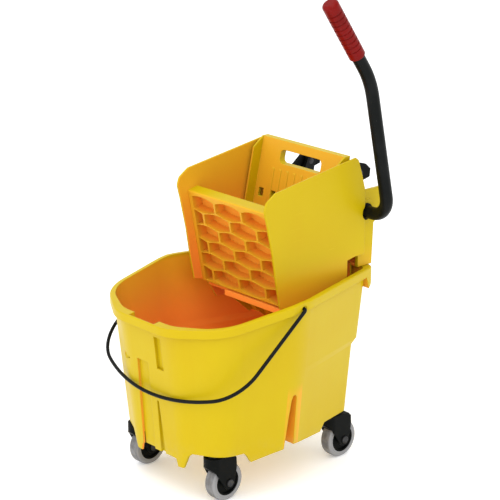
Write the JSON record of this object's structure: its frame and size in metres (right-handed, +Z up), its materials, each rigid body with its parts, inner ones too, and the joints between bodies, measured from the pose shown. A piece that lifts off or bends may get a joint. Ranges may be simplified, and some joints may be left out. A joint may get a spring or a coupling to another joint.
{
  "type": "mop bucket with wringer",
  "caption": "Rolling mop bucket with a lift-off squeeze wringer: a side lever drives a hinged press plate through cranks and cam arms; wire bail handle and swivel casters.",
  "frame": {"origin": "middle of the bounding box in plan, at the floor that the wheels stand on", "axes": "+Z up, +X toward the rear where the wringer hangs, -Y toward the side that has the lever"},
  "size_m": [0.527, 0.4122, 0.9363],
  "materials": {
    "yellow_bucket": "satin",
    "yellow_wringer": "satin",
    "black_wire": "satin",
    "steel": "satin",
    "black_plastic": "matte",
    "black_metal": "satin",
    "red_grip": "matte",
    "spring_steel": "satin",
    "axle_steel": "satin",
    "grey_tyre": "matte",
    "hub_plastic": "matte"
  },
  "bodies": {
    "bucket": {"bucket_body": "yellow_bucket"},
    "wringer": {"wringer_side_near": "yellow_wringer", "wringer_side_far": "yellow_wringer", "wringer_base": "yellow_wringer", "front_plate": "yellow_wringer", "hinge_pin": "steel", "shaft_bush_near": "black_plastic", "shaft_bush_far": "black_plastic"},
    "lever": {"lever_tube": "black_metal", "lever_grip": "red_grip", "shaft_cap": "black_plastic", "crank_near": "black_metal", "crank_far": "black_metal", "crank_pin_near": "steel", "crank_pin_far": "steel", "spring_sleeve": "black_plastic", "return_spring": "spring_steel"},
    "press": {"press_plate": "yellow_wringer", "press_arm_near": "black_plastic", "press_arm_far": "black_plastic", "arm_screws": "steel"},
    "bail": {"bail_wire": "black_wire"},
    "swivel_front_near": {"fork_front_near": "black_plastic", "stem_front_near": "steel", "axle_front_near": "axle_steel"},
    "wheel_front_near": {"tyre_front_near": "grey_tyre", "hub_front_near": "hub_plastic"},
    "swivel_front_far": {"fork_front_far": "black_plastic", "stem_front_far": "steel", "axle_front_far": "axle_steel"},
    "wheel_front_far": {"tyre_front_far": "grey_tyre", "hub_front_far": "hub_plastic"},
    "swivel_rear_near": {"fork_rear_near": "black_plastic", "stem_rear_near": "steel", "axle_rear_near": "axle_steel"},
    "wheel_rear_near": {"tyre_rear_near": "grey_tyre", "hub_rear_near": "hub_plastic"},
    "swivel_rear_far": {"fork_rear_far": "black_plastic", "stem_rear_far": "steel", "axle_rear_far": "axle_steel"},
    "wheel_rear_far": {"tyre_rear_far": "grey_tyre", "hub_rear_far": "hub_plastic"}
  },
  "joints": [
    {"name": "wringer_lift", "type": "slide", "parent": "bucket", "child": "wringer", "axis": [0, 0, 1], "range_m": [0, 0.35]},
    {"name": "lever_turn", "type": "hinge", "parent": "wringer", "child": "lever", "pos_m": [0.2075, 0, 0.495], "axis": [0, -1, 0], "range_deg": [0, 60], "stiffness_Nm_per_rad": 6, "springref_deg": -22.92},
    {"name": "press_swing", "type": "hinge", "parent": "wringer", "child": "press", "pos_m": [0.0945, 0, 0.338], "axis": [0, -1, 0], "range_deg": [0, 16]},
    {"name": "bail_swing", "type": "hinge", "parent": "bucket", "child": "bail", "pos_m": [-0.032, 0, 0.372], "axis": [0, -1, 0], "range_deg": [-125, 0]},
    {"name": "swivel_turn_front_near", "type": "hinge", "parent": "bucket", "child": "swivel_front_near", "pos_m": [-0.1835, -0.113, 0.093], "axis": [0, 0, 1], "continuous": true},
    {"name": "wheel_spin_front_near", "type": "hinge", "parent": "swivel_front_near", "child": "wheel_front_near", "pos_m": [-0.1585, -0.113, 0.038], "axis": [0, 1, 0], "continuous": true},
    {"name": "swivel_turn_front_far", "type": "hinge", "parent": "bucket", "child": "swivel_front_far", "pos_m": [-0.1835, 0.113, 0.093], "axis": [0, 0, 1], "continuous": true},
    {"name": "wheel_spin_front_far", "type": "hinge", "parent": "swivel_front_far", "child": "wheel_front_far", "pos_m": [-0.1585, 0.113, 0.038], "axis": [0, 1, 0], "continuous": true},
    {"name": "swivel_turn_rear_near", "type": "hinge", "parent": "bucket", "child": "swivel_rear_near", "pos_m": [0.1205, -0.113, 0.093], "axis": [0, 0, 1], "continuous": true},
    {"name": "wheel_spin_rear_near", "type": "hinge", "parent": "swivel_rear_near", "child": "wheel_rear_near", "pos_m": [0.1455, -0.113, 0.038], "axis": [0, 1, 0], "continuous": true},
    {"name": "swivel_turn_rear_far", "type": "hinge", "parent": "bucket", "child": "swivel_rear_far", "pos_m": [0.1205, 0.113, 0.093], "axis": [0, 0, 1], "continuous": true},
    {"name": "wheel_spin_rear_far", "type": "hinge", "parent": "swivel_rear_far", "child": "wheel_rear_far", "pos_m": [0.1455, 0.113, 0.038], "axis": [0, 1, 0], "continuous": true}
  ],
  "couplings": [
    {"joint": "press_swing", "follows": "lever_turn", "ratio": 0.26667}
  ]
}
